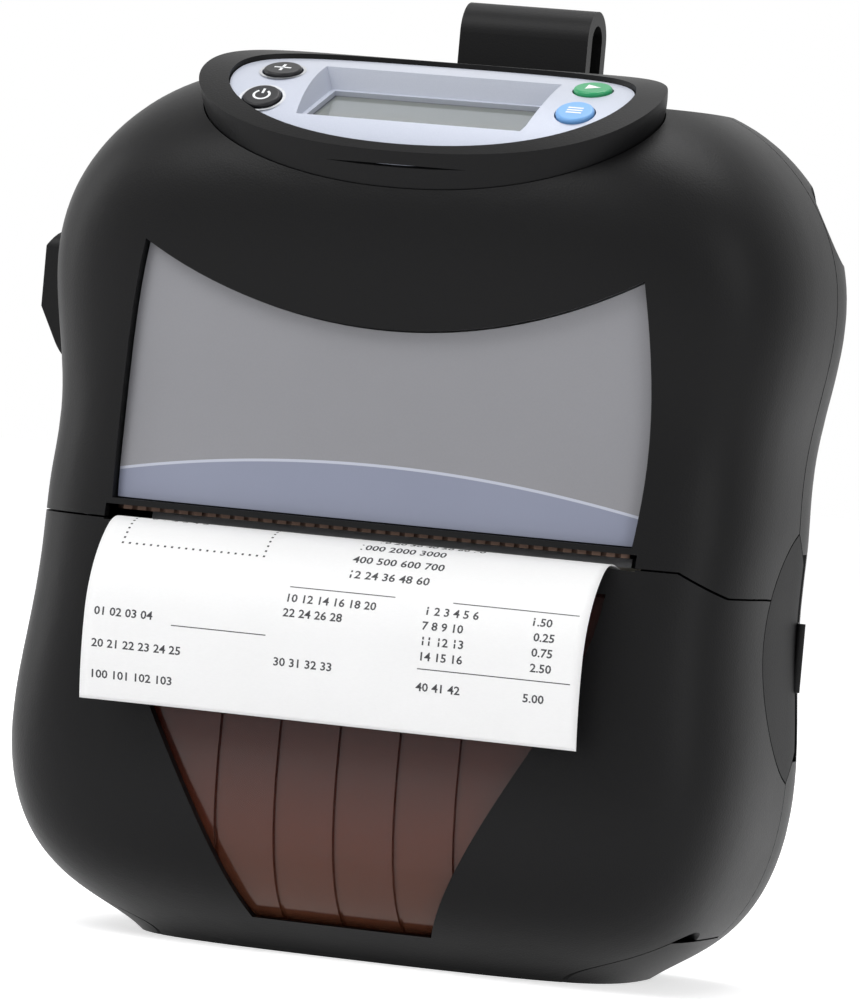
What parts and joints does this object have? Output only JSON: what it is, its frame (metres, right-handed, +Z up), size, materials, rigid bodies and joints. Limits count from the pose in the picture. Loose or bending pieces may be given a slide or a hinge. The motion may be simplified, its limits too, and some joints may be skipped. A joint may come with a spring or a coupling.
{
  "type": "portable thermal printer",
  "caption": "Rounded handheld receipt printer with a windowed media door, roll and platen inside, tilted key panel, side port door, slide-in battery and swivel belt clip.",
  "frame": {"origin": "centre of the flat foot that the printer stands on, on the floor plane", "axes": "+X to the right seen from the front, +Y to the back, +Z up; the paper comes out towards -Y"},
  "size_m": [0.1632, 0.1007, 0.1967],
  "materials": {
    "dark_shell": "soft touch moulded housing",
    "smoked_window": "smoked clear moulding",
    "pale_panel": "pale silver film",
    "display_glass": "clear",
    "green_board": "solder mask",
    "dark_key": "satin",
    "green_key": "satin",
    "blue_key": "satin",
    "black_plastic": "satin",
    "grey_plate": "satin film",
    "ceramic_head": "plain",
    "bare_aluminium": "bare",
    "tear_metal": "stamped",
    "white_paper": "plain",
    "platen_rubber": "ground",
    "shaft_steel": "bright",
    "natural_plastic": "plain",
    "brass_pinion": "cut",
    "motor_can": "plated",
    "inner_plastic": "plain",
    "soft_rubber": "matte",
    "core_board": "plain"
  },
  "bodies": {
    "printer": {"front_housing": "dark_shell", "rear_housing": "dark_shell", "display_collar": "dark_shell", "display_panel": "pale_panel", "display_glass": "display_glass", "display_board": "green_board", "main_board": "green_board", "key_mat": "soft_rubber", "battery_contacts": "brass_pinion", "dc_jack": "black_plastic", "data_port": "black_plastic", "nameplate": "grey_plate", "print_head": "ceramic_head", "heat_sink": "bare_aluminium", "tear_bar": "tear_metal", "stepper_motor": "motor_can", "mechanism_frame": "inner_plastic", "clip_screw": "shaft_steel", "clip_washer": "natural_plastic", "hinge_pins": "shaft_steel", "housing_screws": "shaft_steel"},
    "cover": {"media_cover": "dark_shell", "media_window": "smoked_window", "paper_strip": "white_paper", "platen_bushes": "natural_plastic"},
    "platen": {"platen_roller": "platen_rubber", "platen_shaft": "shaft_steel", "platen_gear": "natural_plastic"},
    "idler": {"idler_gear": "natural_plastic"},
    "motor_rotor": {"motor_pinion": "brass_pinion", "motor_shaft": "shaft_steel"},
    "roll": {"roll_core": "core_board", "media_roll": "white_paper"},
    "support_right": {"media_support_right": "inner_plastic"},
    "support_left": {"media_support_left": "inner_plastic"},
    "latch": {"latch_bar": "inner_plastic"},
    "button": {"latch_button": "black_plastic"},
    "side_door": {"port_door": "soft_rubber"},
    "battery": {"battery_pack": "black_plastic"},
    "catch": {"battery_catch": "black_plastic"},
    "clip": {"belt_clip": "black_plastic"},
    "key_feed_body": {"key_feed": "dark_key"},
    "key_power_body": {"key_power": "dark_key"},
    "key_select_body": {"key_select": "green_key"},
    "key_scroll_body": {"key_scroll": "blue_key"}
  },
  "joints": [
    {"name": "cover_hinge", "type": "hinge", "parent": "printer", "child": "cover", "pos_m": [0, -0.006, 0.0052], "axis": [1, 0, 0], "range_deg": [0, 85]},
    {"name": "platen_spin", "type": "hinge", "parent": "cover", "child": "platen", "pos_m": [0, -0.0145, 0.075], "axis": [1, 0, 0], "continuous": true},
    {"name": "idler_spin", "type": "hinge", "parent": "printer", "child": "idler", "pos_m": [0, -0.00191, 0.07731], "axis": [1, 0, 0], "continuous": true},
    {"name": "motor_spin", "type": "hinge", "parent": "printer", "child": "motor_rotor", "pos_m": [0, 0.00722, 0.08525], "axis": [1, 0, 0], "continuous": true},
    {"name": "roll_spin", "type": "hinge", "parent": "printer", "child": "roll", "pos_m": [0, -0.0044, 0.042], "axis": [1, 0, 0], "continuous": true},
    {"name": "support_right_slide", "type": "slide", "parent": "printer", "child": "support_right", "axis": [1, 0, 0], "range_m": [0, 0.0034]},
    {"name": "support_left_slide", "type": "slide", "parent": "printer", "child": "support_left", "axis": [-1, 0, 0], "range_m": [0, 0.0034]},
    {"name": "button_slide", "type": "slide", "parent": "printer", "child": "button", "axis": [1, 0, 0], "range_m": [0, 0.0025], "stiffness_N_per_m": 300},
    {"name": "latch_turn", "type": "hinge", "parent": "printer", "child": "latch", "pos_m": [0, 0.012, 0.0725], "axis": [1, 0, 0], "range_deg": [0, 14]},
    {"name": "door_hinge", "type": "hinge", "parent": "printer", "child": "side_door", "pos_m": [0.077, 0.0204, 0.068], "axis": [0, 0, 1], "range_deg": [0, 100]},
    {"name": "battery_slide", "type": "slide", "parent": "printer", "child": "battery", "axis": [0, 1, 0], "range_m": [0, 0.03]},
    {"name": "catch_slide", "type": "slide", "parent": "printer", "child": "catch", "axis": [0, 0, 1], "range_m": [0, 0.003], "stiffness_N_per_m": 200},
    {"name": "clip_swivel", "type": "hinge", "parent": "printer", "child": "clip", "pos_m": [0.001, 0.04, 0.15], "axis": [0, 1, 0], "range_deg": [-90, 90]},
    {"name": "key_feed_press", "type": "slide", "parent": "printer", "child": "key_feed_body", "axis": [0, 0.3746, -0.9272], "range_m": [0, 0.0006], "stiffness_N_per_m": 250},
    {"name": "key_power_press", "type": "slide", "parent": "printer", "child": "key_power_body", "axis": [0, 0.5736, -0.8192], "range_m": [0, 0.0006], "stiffness_N_per_m": 250},
    {"name": "key_select_press", "type": "slide", "parent": "printer", "child": "key_select_body", "axis": [0, 0.3289, -0.9444], "range_m": [0, 0.0006], "stiffness_N_per_m": 250},
    {"name": "key_scroll_press", "type": "slide", "parent": "printer", "child": "key_scroll_body", "axis": [0, 0.5225, -0.8526], "range_m": [0, 0.0006], "stiffness_N_per_m": 250}
  ],
  "couplings": [
    {"joint": "idler_spin", "follows": "platen_spin", "ratio": -0.63636},
    {"joint": "motor_spin", "follows": "platen_spin", "ratio": 1.1667},
    {"joint": "support_left_slide", "follows": "support_right_slide", "ratio": 1},
    {"joint": "latch_turn", "follows": "button_slide", "rad_per_m": 97.738}
  ]
}
